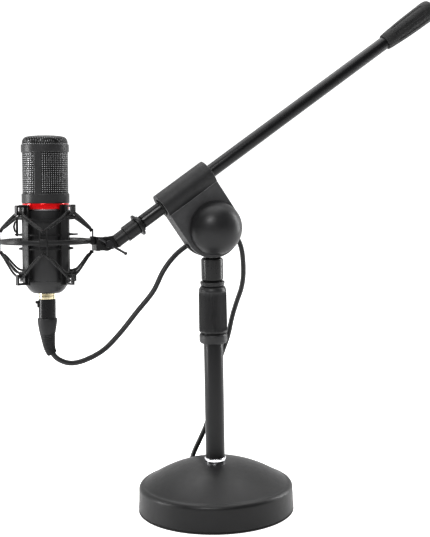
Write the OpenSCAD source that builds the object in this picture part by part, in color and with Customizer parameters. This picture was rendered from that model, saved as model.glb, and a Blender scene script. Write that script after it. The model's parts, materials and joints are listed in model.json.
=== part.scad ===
// Desk-top boom microphone stand with a spider shock mount, a side-vented
// studio microphone and its lead. Millimetres, +Z up, the origin is at the
// centre of the base's underside. The boom lies in the XZ plane.

/* [Base] */
// Diameter of the domed base
base_d = 190; // [170:5:230]
// Height of the upright side wall of the base
base_wall = 28; // [24:1:32]
// Height of the dome at the foot of the pole
base_h = 61; // [58:1:64]
// Thickness of the rubber rim under the base
pad_t = 2.5; // [2:0.5:3]

/* [Pole] */
// Outside diameter of the lower pole
pole_d = 23.4; // [22.2:0.2:24]
// Wall of the lower pole
pole_wall = 1; // [1:0.1:1.2]
// Outside diameter of the sliding riser tube
riser_d = 19.05; // [18.6:0.05:19.05]
// Height of the pivot of the boom clamp above the table
pivot_h = 348; // [348:1:360]

/* [Clamp] */
// Width of the clamp along the boom
clamp_w = 70; // [68:1:76]
// Radius of the barrel round the boom
barrel_r = 16.3; // [15.5:0.1:17.5]
// Half thickness of the flat cheeks of the clamp
cheek_y = 12; // [11:0.5:13]
// Distance from the pivot up to the boom's axis
boom_off = 55.5; // [52:0.5:60]
// Diameter of the half-ball knob
knob_d = 64; // [54:1:66]

/* [Boom] */
// Slope of the boom above the horizontal, in degrees
boom_angle = 33; // [0:1:45]
// Outside diameter of the boom tube
boom_d = 15.9; // [15.5:0.1:15.9]
// Reach of the boom from the clamp's middle to the end of the grip
boom_reach = 388; // [360:1:440]
// Length of the end grip
grip_len = 77; // [70:1:90]

/* [Shock mount] */
// Outside radius of the suspension ring
ring_r = 52.3; // [51:0.1:54]
// Turn of the boom about its own axis, in degrees
roll = -5; // [-10:1:10]
// Lean of the mount about its swivel, in degrees
lean = 2; // [-10:0.5:10]
// Turn of the cradle and its elastic about the microphone's axis
cradle_turn = -13; // [-20:1:-8]

/* [Microphone] */
// Radius of the microphone's body
mic_r = 25.6; // [25.2:0.1:26]
// Radius of the two bands of the microphone's head
band_r = 27.1; // [26.8:0.1:27.4]

/* [Hidden] */
$fn = 96;
pole_r = pole_d / 2;
pole_ri = pole_r - pole_wall;
riser_r = riser_d / 2;
boom_r = boom_d / 2;
clamp_r = clamp_w / 2;
clamp_x = -1.7;      // middle of the clamp along the boom, from the pivot
base_r = base_d / 2;
lead_r = 3;
swivel_s = -116;     // swivel centre along the boom
swivel_n = 4.9;      // and above the boom's axis
reach = 69.7;          // swivel to the microphone's axis
ring_z = 4;          // ring above the swivel
bore_liner = 9.5;

// ---------- places ----------
module at_boom() translate([0, 0, pivot_h]) rotate([0, -boom_angle, 0]) children();
module at_tip() at_boom() translate([0, 0, boom_off]) rotate([roll, 0, 0]) children();
module at_mount() at_tip() translate([swivel_s, 0, swivel_n])
    rotate([0, boom_angle + lean, 0]) children();
module at_mic() at_mount() translate([-reach, 0, ring_z]) children();
module along_x() rotate([0, 90, 0]) children();       // local +Z laid along +X
module along_y() rotate([-90, 0, 0]) children();      // local +Z laid along +Y
module tube(ro, ri, z0, z1) translate([0, 0, z0]) difference() {
    cylinder(r = ro, h = z1 - z0);
    translate([0, 0, -1]) cylinder(r = ri, h = z1 - z0 + 2);
}
// sector of a circle, from angle a0 to a1, drawn as a polygon reaching past r
module wedge(r, a0, a1) let (n = 10)
    polygon(concat([[0, 0]], [for (i = [0:n]) let (a = a0 + (a1 - a0) * i / n)
        [r * cos(a), r * sin(a)]]));

// ---------- base ----------
dome_top = 14;
dome_n = 18;
function dome_z(r, drop = 0) = let (rs = base_r - 1 - 6, z0 = base_wall + 6,
    f = max(0, (r - dome_top) / (rs - dome_top)))
    z0 + (base_h - z0) * (1 - pow(f, 1.85)) - drop;
module base_casting() color("#1d1e20") difference() {
    rotate_extrude($fn = 180) polygon(concat(
        [[84, pad_t], [base_r - 0.2, pad_t], [base_r, pad_t + 1.5],
         [base_r - 0.6, 12], [base_r - 1, base_wall]],
        [for (a = [15:15:90]) [base_r - 7 + 6 * cos(a), base_wall + 6 * sin(a)]],
        [for (i = [dome_n - 1:-1:1]) let (r = dome_top + (base_r - 7 - dome_top) * i / dome_n)
            [r, dome_z(r)]],
        [[dome_top, base_h], [0, base_h], [0, 44], [24, 44], [27, dome_z(27, 9)]],
        [for (i = [1:8]) let (r = 27 + 51 * i / 8) [r, dome_z(r, 9)]],
        [[84, base_wall - 6]]));
    translate([0, 0, 30]) cylinder(r = 8.2, h = 40);
    translate([0, 0, 56]) cylinder(r = pole_r + 0.05, h = 10);
}
module base_pad() color("#101011") rotate_extrude($fn = 180)
    polygon([[84, 0], [base_r - 0.8, 0], [base_r, 0.8], [base_r - 0.2, pad_t], [84, pad_t]]);
module foot_stud() color("#8d9094") {
    translate([0, 0, 27]) cylinder(r = 8, h = 29);
    translate([0, 0, 56]) cylinder(r = pole_ri, h = 15);
}
module base_washer() color("#a8abaf") tube(17, 8.2, 41.5, 44);
module base_nut() color("#8d9094") difference() {
    translate([0, 0, 31]) cylinder(r = 13.9, h = 10.5, $fn = 6);
    translate([0, 0, 30]) cylinder(r = 8, h = 13);
}
module foot_ring() color("#c9ccd0") rotate_extrude()
    polygon([[pole_r, base_h], [pole_r + 1.4, base_h], [pole_r + 1.6, base_h + 1.2],
        [pole_r + 1.4, base_h + 3.6], [pole_r + 0.6, base_h + 4.6], [pole_r, base_h + 4.6]]);

// ---------- pole, clutch and riser ----------
module pole_tube() color("#16171a") tube(pole_r, pole_ri, 56, 216);
module clutch_body() color("#202124") rotate_extrude() polygon([
    [pole_r, 208], [15.6, 208], [16.7, 209.6], [16.9, 212], [16.7, 217.6],
    [15.8, 219.3], [13, 219.3], [13, 262], [11.6, 262], [11.6, 244],
    [9.9, 243], [9.9, 216], [pole_r, 216]]);
module clutch_collet() color("#d8d6cc") difference() {
    rotate_extrude() polygon([[riser_r + 0.05, 244.2], [11.55, 244.2], [11.55, 262.2],
        [12.2, 262.2], [12.2, 265], [11, 269], [riser_r + 0.05, 269]]);
    for (a = [0:120:240]) rotate([0, 0, a + 30]) translate([5, -0.7, 250]) cube([9, 1.4, 22]);
}
module clutch_grip() color("#26272a") rotate_extrude() polygon([
    [13.5, 221.3], [16.4, 221.3], [17, 222.3], [17, 226], [16.65, 270], [16.2, 273.6],
    [15, 276], [13, 277], [11, 277], [11, 270.6], [12.6, 270.2], [12.6, 263], [13.5, 262.6]]);
module riser_tube() color("#16171a") tube(riser_r, 8.2, 84, 299);
module riser_bush() color("#d8d6cc") {
    translate([0, 0, 78]) cylinder(r = pole_ri - 0.05, h = 6);
    translate([0, 0, 84]) cylinder(r = 8.2, h = 10);
}
module lock_ring() color("#202124") rotate_extrude() polygon([
    [riser_r + 0.05, 277.5], [13.6, 277.5], [14.2, 279], [14.2, 280], [14.7, 280.6],
    [14.7, 282.2], [14.2, 282.8], [riser_r + 0.05, 282.8]]);

// ---------- head and boom clamp ----------
module head_socket() color("#1b1c1f") difference() {
    union() {
        rotate_extrude() polygon([[0, 283.4], [11.6, 283.4], [13.15, 285.6],
            [13.15, 309], [12.2, 310.6], [11, 311], [0, 311]]);
        translate([-9.5, -4.2, 310]) cube([19, 8.4, pivot_h - 310]);
        translate([0, -4.2, pivot_h]) along_y() cylinder(r = 22, h = 8.4);
    }
    translate([0, 0, 280]) cylinder(r = riser_r + 0.07, h = 21);
    translate([0, -20, pivot_h]) along_y() cylinder(r = 4.06, h = 40);
}
module friction_washers() color("#7c6a52")
    for (y = [-5, 4.2]) translate([0, y, pivot_h]) along_y() difference() {
        cylinder(r = 20, h = 0.8);
        translate([0, 0, -1]) cylinder(r = 9, h = 3);
    }
// outline of the flat cheeks, in the boom's own axes (x along, y up)
module cheek_outline() {
    translate([clamp_x, 0]) circle(r = clamp_r, $fn = 120);
    translate([clamp_x - clamp_r, 0]) square([clamp_w, boom_off]);
}
module slab(y0, y1) translate([0, y1, 0]) rotate([90, 0, 0])
    linear_extrude(height = y1 - y0) children();
module clamp_solid() {
    slab(-cheek_y, cheek_y) cheek_outline();
    translate([clamp_x - clamp_r - 1, 0, boom_off]) along_x() cylinder(r = barrel_r, h = clamp_w + 1);
}
module clamp_hollow() {
    translate([-clamp_r - 9, 0, boom_off]) along_x() cylinder(r = bore_liner, h = clamp_w + 20);
    slab(-5.3, 5.3) union() { circle(r = 23.5); wedge(60, -90 - 92, -90 + 36); }
    translate([0, -30, 0]) along_y() cylinder(r = 4.05, h = 60);
}
split_y = 5.3;
module clamp_front() color("#1f2023") at_boom() difference() {
    intersection() {
        clamp_solid();
        translate([-60, -40, -60]) cube([120, 40 + split_y, 160]);
    }
    clamp_hollow();
}
// cable saddle moulded on the rear cheek: centre of its curve
sad_x = 21; sad_z = 316 - 348;
module clamp_rear() color("#1f2023") {
    at_boom() difference() {
        intersection() {
            clamp_solid();
            translate([-60, split_y, -60]) cube([120, 40, 160]);
        }
        clamp_hollow();
    }
    translate([sad_x, 0, pivot_h + sad_z]) slab(cheek_y - 1, 21) difference() {
        intersection() { circle(r = 20.6); wedge(60, 66, 112); }
        circle(r = 17);
    }
    translate([sad_x, 0, pivot_h + sad_z]) slab(21, 23) difference() {
        intersection() { circle(r = 24.5); wedge(60, 66, 112); }
        circle(r = 17);
    }
}
module pivot_bolt() color("#a8abaf") at_boom() {
    translate([0, -31, 0]) along_y() cylinder(r = 4, h = 31 + cheek_y + 1.4);
    translate([0, cheek_y + 1.4, 0]) along_y() cylinder(r = 7.4, h = 5.2, $fn = 6);
}
module pivot_washer() color("#8d9094") at_boom()
    translate([0, cheek_y, 0]) along_y() difference() {
        cylinder(r = 9.6, h = 1.4);
        translate([0, 0, -1]) cylinder(r = 4, h = 4);
    }
knob_r = knob_d / 2;
module ball_knob() color("#2a2b2e") at_boom() translate([0, -cheek_y - 0.4, 0])
    rotate([90, 0, 0]) difference() {
        rotate_extrude($fn = 144) polygon(concat(
            [[0, 0], [knob_r - 1.6, 0], [knob_r - 0.5, 0.6], [knob_r, 2]],
            [for (a = [6:6:84]) [knob_r * cos(a), 2 + 27.5 * sin(a)]],
            [[0, 29.5]]));
        translate([0, 0, -1]) cylinder(r = 7, h = 18.4);
        translate([0, 0, 10]) cylinder(r = 4.3, h = 12);
    }
module knob_insert() color("#b49a55") at_boom() translate([0, -cheek_y - 0.4, 0])
    rotate([90, 0, 0]) tube(7, 4.05, 0, 17.4);

// ---------- boom ----------
module boom_liner() color("#c9c7bd") at_boom() translate([0, 0, boom_off]) along_x()
    translate([0, 0, clamp_x]) rotate_extrude() polygon([[boom_r + 0.05, -clamp_r - 2.5],
        [10.8, -clamp_r - 2.5], [10.8, -clamp_r - 1.3], [bore_liner - 0.05, -clamp_r - 1.3],
        [bore_liner - 0.05, clamp_r + 0.3], [10.8, clamp_r + 0.3],
        [10.8, clamp_r + 1.5], [boom_r + 0.05, clamp_r + 1.5]]);
module boom_tube() color("#16171a") at_tip() along_x()
    tube(boom_r, 6.75, -66, boom_reach - 16);
module boom_grip() color("#1b1c1f") at_tip() along_x()
    rotate_extrude() polygon([[0, boom_reach - 15.9], [boom_r + 0.04, boom_reach - 15.9],
        [boom_r + 0.04, boom_reach - grip_len], [9.4, boom_reach - grip_len],
        [9.8, boom_reach - grip_len + 1.2], [10.7, boom_reach - 66],
        [11.8, boom_reach - 50], [12.4, boom_reach - 34], [12.7, boom_reach - 18],
        [12.8, boom_reach - 8], [12.2, boom_reach - 3.6], [10.4, boom_reach - 1],
        [7, boom_reach], [0, boom_reach]]);
module boom_tip() color("#8d9094") at_tip() along_x() {
    translate([0, 0, -66]) cylinder(r = 6.75, h = 18);
    translate([0, 0, -88.9]) cylinder(r = 7.85, h = 22.9);
}
module swivel_arm() color("#1b1c1f") at_tip() difference() {
    union() {
        translate([-91, 0, 0]) along_x() cylinder(r = 9.5, h = 16.6);
        translate([-106, 0, 0]) along_x() cylinder(r = 7.75, h = 16);
        slab(-4, 4) polygon([[-116, swivel_n + 8.1], [-104, 7.7], [-104, -7.7], [-116, swivel_n - 8.1]]);
        translate([swivel_s, -4, swivel_n]) along_y() cylinder(r = 8.2, h = 8);
    }
    translate([-89, 0, 0]) along_x() cylinder(r = 7.9, h = 20);
    translate([swivel_s, -10, swivel_n]) along_y() cylinder(r = 3.05, h = 20);
}
module lock_disc() color("#1b1c1f") at_tip() along_x() difference() {
    rotate_extrude() polygon([[0, -74.1], [12.6, -74.1], [13.5, -73.4], [13.5, -71.7],
        [12.6, -71], [10.2, -70.6], [9.6, -68.4], [0, -68.4]]);
    translate([0, 0, -80]) cylinder(r = 7.95, h = 20);
}

// ---------- swivel and suspension ring ----------
module tee_screw() color("#a8abaf") at_mount() difference() {
    union() {
        translate([0, -9.5, 0]) along_y() cylinder(r = 3, h = 21.5);
        translate([0, -20.5, 0]) along_y() cylinder(r = 4.2, h = 11.5);
    }
    translate([0, -17.4, 0]) rotate([0, 30, 0]) translate([-8, 0, 0]) along_x() cylinder(r = 1.3, h = 16);
}
module tee_bar() color("#8d9094") at_mount() translate([0, -17.4, 0]) rotate([0, 30, 0]) {
    translate([-13.5, 0, 0]) along_x() cylinder(r = 1.3, h = 35.5);
    for (x = [-13.5, 22]) translate([x, 0, 0]) sphere(r = 2, $fn = 40);
}
module ring_knuckle() color("#1b1c1f") at_mount() difference() {
    union() {
        translate([-13, -8, -8]) cube([4.2, 16, 16]);
        for (y = [-8, 4.3]) {
            translate([0, y, 0]) along_y() cylinder(r = 7.5, h = 3.7);
            translate([-9, y, -7.5]) cube([9, 3.7, 15]);
        }
    }
    translate([0, -20, 0]) along_y() cylinder(r = 3.05, h = 40);
    translate([0, 7, 0]) along_y() cylinder(r = 5.9, h = 4, $fn = 6);
}
module swivel_nut() color("#8d9094") at_mount() translate([0, 7, 0]) along_y() difference() {
    cylinder(r = 5.9, h = 4.4, $fn = 6);
    translate([0, 0, -1]) cylinder(r = 3.05, h = 8);
}
ring_h = 2.8;
module shock_ring() color("#1b1c1f") at_mic() {
    rotate_extrude($fn = 144) polygon([[ring_r - 5.8, -ring_h + 1.2], [ring_r - 4.6, -ring_h],
        [ring_r - 1.2, -ring_h], [ring_r, -ring_h + 1.4], [ring_r, ring_h - 1.4],
        [ring_r - 1.2, ring_h], [ring_r - 4.6, ring_h], [ring_r - 5.8, ring_h - 1.2]]);
    difference() {
        union() {
            translate([ring_r - 3, -5, -ring_h]) cube([reach - 13 - ring_r + 3, 10, 2 * ring_h]);
            translate([51.2, -5, -4.7]) cube([reach - 13 - 51.2, 10, 9.4]);
        }
        translate([0, 0, -10]) cylinder(r = ring_r - 2, h = 20, $fn = 144);
    }
}
clip_h = 14;
module ring_clips() color("#1b1c1f") at_mic() difference() {
    for (a = [0:90:270]) rotate([0, 0, a + cradle_turn])
        translate([ring_r - 0.4, -4.5, -clip_h]) cube([1.8, 9, 2 * clip_h]);
    translate([0, 0, -ring_h - 1]) cylinder(r = ring_r, h = 2 * ring_h + 2, $fn = 144);
    for (a = [0:90:270], z = [4.2, -12.7]) rotate([0, 0, a + cradle_turn])
        translate([ring_r - 3, -3.3, z]) cube([8, 6.6, 8.5]);
}
// one strand of elastic between two points
module strand(p, q, r = 1.1) let (d = q - p, l = norm(d))
    translate(p) rotate([0, acos(d[2] / l), atan2(d[1], d[0])]) cylinder(r = r, h = l, $fn = 24);
function pol(r, a, z) = [r * cos(a), r * sin(a), z];
hook_r = 44.6; hook_z = [[30.4, 41.4], [-48, -36.2]];
module elastic_cords() color("#232427") at_mic()
    for (a = [0:90:270], s = [-1, 1], u = [-1, 1])
        let (c = a + cradle_turn, h = c + s * 45)
        strand(pol(ring_r - 2.1, c + s * 2.6, u * 13.1),
            pol(hook_r - 5.4, h - s * 5, u > 0 ? 34.4 : -40.2));
post_a = 9.5;
module posts(r0, r1, z0, z1, w) for (a = [45:90:315]) rotate([0, 0, a + cradle_turn])
    translate([0, 0, z0]) linear_extrude(height = z1 - z0) difference() {
        intersection() { circle(r = r1); wedge(60, -w, w); }
        circle(r = r0);
    }
module cradle_frame() color("#1b1c1f") at_mic() {
    posts(29.3, 31.8, -48.4, 41.8, post_a);
    for (z = [25, 7, -9]) difference() {
        union() {
            translate([0, 0, z]) cylinder(r = 31, h = 1.8);
            if (z > 0) rotate([0, 0, cradle_turn]) translate([0, 0, z + 0.1]) {
                linear_extrude(height = 1.6) polygon([[20, 12], [35.4, 5], [36, 2], [31, -8], [20, -12]]);
                linear_extrude(height = 1.6) polygon([[-20, 11], [-35.2, 3], [-35.2, -3], [-20, -11]]);
            }
        }
        translate([0, 0, z - 1]) cylinder(r = 29.6, h = 4);
        rotate([0, 0, cradle_turn]) translate([-loop_r, 0, z - 1]) cylinder(r = 1.3, h = 4, $fn = 24);
    }
    for (a = [45:90:315], h = hook_z) rotate([0, 0, a + cradle_turn]) translate([0, -3.5, h[0]])
        difference() {
            translate([31.2, 1.7, 0]) cube([hook_r - 31.2, 3.6, h[1] - h[0]]);
            translate([34, 0, 2.2]) cube([hook_r - 36.2, 7, h[1] - h[0] - 4.4]);
        }
}
module cradle_pads() color("#2f2f31") at_mic() posts(mic_r + 0.05, 29.25, -42, 33, 8);
// two spring-wire finger loops on one upright pin
loop_r = 32.8;
module squeeze_loop() color("#1b1c1f") at_mic() rotate([0, 0, cradle_turn]) translate([-loop_r, 0, 16.9]) {
    translate([0, 0, -10.9]) cylinder(r = 1.2, h = 22, $fn = 24);
    for (t = [-20, 12], k = [0:3]) let (p = [for (i = [0:4]) let (a = 122 + 29 * i)
        [5.4 + 9.2 * cos(a), 0, 9.2 * sin(a)]]) rotate([0, 0, t]) {
        strand(p[k], p[k + 1], 0.9);
        if (k > 0) translate(p[k]) sphere(r = 0.98, $fn = 24);
    }
}

// ---------- microphone ----------
module mic_body() color("#1d1e20") at_mic() tube(mic_r, 24.2, -44.2, 35.5);
module trim_ring() color("#b9bcc0") at_mic() tube(26.2, 24.2, 35.5, 36.9);
module red_ring() color("#d0121c") at_mic() tube(26.6, 22, 36.9, 43.5);
module head_frame() color("#1d1e20") at_mic() {
    tube(band_r, 26, 43.5, 54.5);
    tube(band_r, 26, 101.2, 110.3);
    for (a = [62, 242]) rotate([0, 0, a]) translate([0, 0, 52.5])
        linear_extrude(height = 50) difference() {
            intersection() { circle(r = 26.9); wedge(60, -9.5, 9.5); }
            circle(r = 26.1);
        }
}
module grille_basket() color("#3a3b3e") at_mic() rotate_extrude() polygon([
    [25.95, 43.5], [25.95, 111.4], [25.6, 114.4], [24.1, 117.4], [20.6, 119.2], [12, 120.2], [0, 120.5],
    [0, 119.9], [12, 119.6], [20.4, 118.6], [23.6, 116.9], [25, 114.2], [25.35, 111.4], [25.35, 43.5]]);
module capsule() color("#b49a55") at_mic() translate([0, 0, 76.5])
    rotate([0, 0, cradle_turn]) rotate([90, 0, 0]) translate([0, 0, -4]) cylinder(r = 9.5, h = 8);
module capsule_post() color("#2a2b2e") at_mic() {
    translate([0, 0, 43.5]) cylinder(r = 24, h = 2.5);
    translate([0, 0, 46]) cylinder(r = 3.2, h = 21);
}
module circuit_board() color("#1f5a36") at_mic() rotate([0, 0, cradle_turn])
    translate([-19, -0.8, -38]) cube([38, 1.6, 72]);
module bottom_cup() color("#1d1e20") at_mic() rotate_extrude() polygon([
    [9.4, -59], [14.5, -59], [17, -58], [21.5, -53.5], [24.6, -48], [mic_r, -44.2],
    [23, -44.2], [20, -49], [16, -53], [9.4, -53]]);
module mic_connector() color("#c8b478") at_mic() difference() {
    translate([0, 0, -66]) cylinder(r = 9.35, h = 16);
    translate([0, 0, -67]) cylinder(r = 8.15, h = 13);
}
module pin_set(r, z0, z1) for (a = [0, 120, 240]) rotate([0, 0, a + 90])
    translate([3.9, 0, z0]) cylinder(r = r, h = z1 - z0, $fn = 24);
module connector_pins() color("#d8c068") at_mic() pin_set(1.2, -64, -54);
module plug_shell() color("#2a2b2e") at_mic() difference() {
    union() {
        translate([0, 0, -88]) cylinder(r = 9.9, h = 21.6);
        translate([0, 0, -67]) cylinder(r = 8.1, h = 11);
    }
    translate([0, 0, -89]) cylinder(r = 7, h = 35);
    translate([-14, -2.4, -75.6]) cube([7.4, 4.8, 8]);
}
module plug_insert() color("#111113") at_mic() difference() {
    translate([0, 0, -78]) cylinder(r = 7, h = 22);
    pin_set(1.25, -66, -50);
    translate([-14, -2.4, -75.6]) cube([7.4, 4.8, 8]);
}
module plug_latch() color("#b9bcc0") at_mic() {
    translate([-11.4, -2, -75.2]) cube([2.8, 4, 7.2]);
    translate([-13.4, -2, -71]) cube([2.2, 4, 3]);
}
// the strain relief leans towards the stand, the way the lead leaves it
module plug_boot() color("#161618") at_mic() {
    rotate_extrude() polygon([[0, -88], [11.1, -88], [11.2, -90], [10.5, -97], [9, -105.6], [0, -105.6]]);
    translate([0, 0, -104.6]) rotate([0, 174, 0]) cylinder(r1 = 8.9, r2 = 7, h = 16.5);
    translate([1.62, 0, -121]) {
        sphere(r = 7.05, $fn = 48);
        rotate([0, 155, 0]) cylinder(r1 = 7, r2 = 5.8, h = 8);
    }
}

// ---------- lead ----------
function dir(p, i) = let (n = len(p), a = p[max(0, i - 1)], b = p[min(n - 1, i + 1)], d = b - a) d / norm(d);
function cr(a, b, c, d, t) = 0.5 * ((2 * b) + (c - a) * t + (2 * a - 5 * b + 4 * c - d) * t * t
    + (3 * b - a - 3 * c + d) * t * t * t);
function smooth(p, k) = concat([for (i = [0:len(p) - 2], j = [0:k - 1])
    cr(p[max(0, i - 1)], p[i], p[i + 1], p[min(len(p) - 1, i + 2)], j / k)], [p[len(p) - 1]]);
// one ring of the tube, square to direction t and turned from the direction up
function ring_at(c, t, r, m, up) = let (u0 = up - t * (t * up), u = u0 / norm(u0), v = cross(t, u))
    [for (k = [0:m - 1]) c + r * (u * cos(360 * (k + 0.5) / m) + v * sin(360 * (k + 0.5) / m))];
module sweep(path, r, m = 8, up = [0, 1, 0]) let (n = len(path)) polyhedron(
    points = [for (i = [0:n - 1]) each ring_at(path[i], dir(path, i), r / cos(90 / m), m, up)],
    faces = concat([[for (k = [0:m - 1]) k]],
        [for (i = [0:n - 2], k = [0:m - 1]) let (a = i * m + k, b = i * m + (k + 1) % m)
            each [[a, a + m, b], [b, a + m, b + m]]],
        [[for (k = [m - 1:-1:0]) (n - 1) * m + k]]));
// route of the lead from the plug's boot to the saddle on the clamp
swag = [[-198.4, -5.4, 212.6], [-196.6, -5.4, 209.6], [-193, -5.2, 206], [-185, -5, 201.4],
    [-177, -4, 199.2], [-167.4, -3.5, 199.6], [-156.4, -3, 202.4], [-145, -1.5, 206.6],
    [-133, 1, 213], [-114, 5, 229], [-93, 8, 251], [-71, 11, 274], [-58, 13, 296],
    [-48, 15, 308], [-37.4, 17, 317.2], [-25, 17, 325.6], [-12, 17, 332.8], [0, 17, 337], [11.5, 17, 339.9]];
// and from the saddle down behind the pole to the coil on the table
drop = [[12.4, 17, 340.1], [24, 17, 340], [34, 17, 336], [41, 18, 328], [45, 18, 317],
    [47, 19, 305], [48, 21, 284], [46, 23, 268], [40, 25, 250], [35, 26, 234],
    [29, 28, 208], [24, 30, 193], [16, 32, 168], [10, 38, 128], [6, 46, 96],
    [1, 58, 73], [-1, 70, 58], [0, 83, 46.5], [2, 95, 36], [5, 104, 23], [7, 109, 15],
    [9, 113, 9]];
// floor coil: centre, middle radius, half width and height of its winding
coil_x = 46; coil_y = 126; coil_mean = 30; coil_w = 6; coil_h = 12;
// last stretch, up over the coil to the small plug that lies on it
tail = [[75, 137, 15.2], [76.5, 126, 15.3], [74.5, 115, 15.8], [69, 107, 16.8], [60, 102, 17.2], [52.6, 101, 17.3]];
module lead_swag() color("#1a1a1c") sweep(smooth(swag, 2), lead_r);
module lead_drop() color("#1a1a1c") sweep(smooth(drop, 2), lead_r);
module lead_coil() color("#1a1a1c") translate([coil_x, coil_y, 0])
    tube(coil_mean + coil_w, coil_mean - coil_w, 0, coil_h);
module lead_tail() color("#1a1a1c") sweep(smooth(tail, 2), lead_r, 8, [0, 0, 1]);
module lead_tie() color("#b8312f") translate([coil_x, coil_y, 0]) rotate([0, 0, 135]) difference() {
    translate([coil_mean - coil_w - 1, -4, 0]) cube([2 * coil_w + 2, 8, coil_h + 1]);
    tube(coil_mean + coil_w, coil_mean - coil_w, -1, coil_h);
}
module at_end_plug() translate([52, 101, 17.3]) rotate([0, -90, 0]) children();
module end_boot() color("#161618") at_end_plug() rotate_extrude() polygon([
    [0, 0], [3.6, 0], [5, 11], [5, 12], [0, 12]]);
module end_barrel() color("#2a2b2e") at_end_plug() translate([0, 0, 12]) cylinder(r = 5.25, h = 22);
module end_pin() color("#d8c068") at_end_plug() rotate_extrude($fn = 36) polygon([
    [0, 34], [1.75, 34], [1.75, 44.5], [1.2, 45.3], [1.7, 46.4], [0.6, 48.5], [0, 48.5]]);

base_casting();
base_pad();
foot_stud();
base_washer();
base_nut();
foot_ring();
pole_tube();
clutch_body();
clutch_collet();
clutch_grip();
riser_tube();
riser_bush();
lock_ring();
head_socket();
friction_washers();
clamp_front();
clamp_rear();
pivot_bolt();
pivot_washer();
ball_knob();
knob_insert();
boom_liner();
boom_tube();
boom_grip();
boom_tip();
swivel_arm();
lock_disc();
tee_screw();
tee_bar();
ring_knuckle();
shock_ring();
ring_clips();
elastic_cords();
swivel_nut();
cradle_frame();
cradle_pads();
squeeze_loop();
mic_body();
red_ring();
trim_ring();
head_frame();
grille_basket();
capsule();
capsule_post();
circuit_board();
bottom_cup();
mic_connector();
connector_pins();
plug_shell();
plug_insert();
plug_latch();
plug_boot();
lead_swag();
lead_drop();
lead_coil();
lead_tail();
lead_tie();
end_boot();
end_barrel();
end_pin();
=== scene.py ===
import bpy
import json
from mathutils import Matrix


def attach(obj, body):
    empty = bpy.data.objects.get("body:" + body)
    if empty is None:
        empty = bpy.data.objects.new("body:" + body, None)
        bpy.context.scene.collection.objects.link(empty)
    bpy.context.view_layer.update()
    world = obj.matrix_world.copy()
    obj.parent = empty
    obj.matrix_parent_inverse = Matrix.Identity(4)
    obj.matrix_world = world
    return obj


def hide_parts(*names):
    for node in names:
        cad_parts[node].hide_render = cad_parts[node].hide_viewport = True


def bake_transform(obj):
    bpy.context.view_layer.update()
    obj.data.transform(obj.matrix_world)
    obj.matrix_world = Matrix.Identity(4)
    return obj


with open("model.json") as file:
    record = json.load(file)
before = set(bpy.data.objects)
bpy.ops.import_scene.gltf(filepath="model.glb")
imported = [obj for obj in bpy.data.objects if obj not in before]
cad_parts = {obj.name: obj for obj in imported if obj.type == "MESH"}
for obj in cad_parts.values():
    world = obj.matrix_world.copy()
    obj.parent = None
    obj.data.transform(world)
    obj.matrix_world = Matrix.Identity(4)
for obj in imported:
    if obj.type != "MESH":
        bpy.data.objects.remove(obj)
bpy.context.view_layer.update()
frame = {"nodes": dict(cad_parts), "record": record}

import json, math
import bpy, bmesh
from mathutils import Matrix, Vector

C = bpy.context
S = C.scene
MM = 0.001
rad = math.radians
sin, cos, pi = math.sin, math.cos, math.pi

# ------------------------------------------------------------------ camera
cam_data = bpy.data.cameras.new("camera")
cam_data.lens = 85
cam_data.sensor_width = 36
cam_data.sensor_fit = "AUTO"
cam_data.clip_start, cam_data.clip_end = 0.05, 20
cam = bpy.data.objects.new("camera", cam_data)
S.collection.objects.link(cam)
S.camera = cam
R = Vector((0.9388, -0.3442, -0.0164)).normalized()
F = Vector((0.3386, 0.9303, -0.1409)).normalized()
U = R.cross(F).normalized()
F = U.cross(R).normalized()
CM = Matrix((R, U, -F)).transposed().to_4x4()
CM.translation = Vector((-0.5112, -1.4143, 0.5120))
cam.matrix_world = CM

# ------------------------------------------------------------------ places
def Rx(a): return Matrix.Rotation(rad(a), 4, "X")
def Ry(a): return Matrix.Rotation(rad(a), 4, "Y")
def Rz(a): return Matrix.Rotation(rad(a), 4, "Z")
def T(x, y, z): return Matrix.Translation((x * MM, y * MM, z * MM))
ALONG_X = Ry(90)
ALONG_Y = Rx(-90)
I = Matrix.Identity(4)
BOOM = T(0, 0, 348) @ Ry(-33)
AXIS = BOOM @ T(0, 0, 55.5)
TIP = AXIS @ Rx(-5)
MOUNT = TIP @ T(-116, 0, 4.9) @ Ry(35)
MIC = MOUNT @ T(-69.7, 0, 4)
TURN = -13


# ------------------------------------------------------------------ mesh helpers
def new_object(name, bm, sharp=32, smooth=True):
    me = bpy.data.meshes.new(name)
    bmesh.ops.recalc_face_normals(bm, faces=bm.faces)
    bm.to_mesh(me)
    bm.free()
    for p in me.polygons:
        p.use_smooth = smooth
    if smooth:
        me.set_sharp_from_angle(angle=rad(sharp))
    o = bpy.data.objects.new(name, me)
    S.collection.objects.link(o)
    return o


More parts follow.
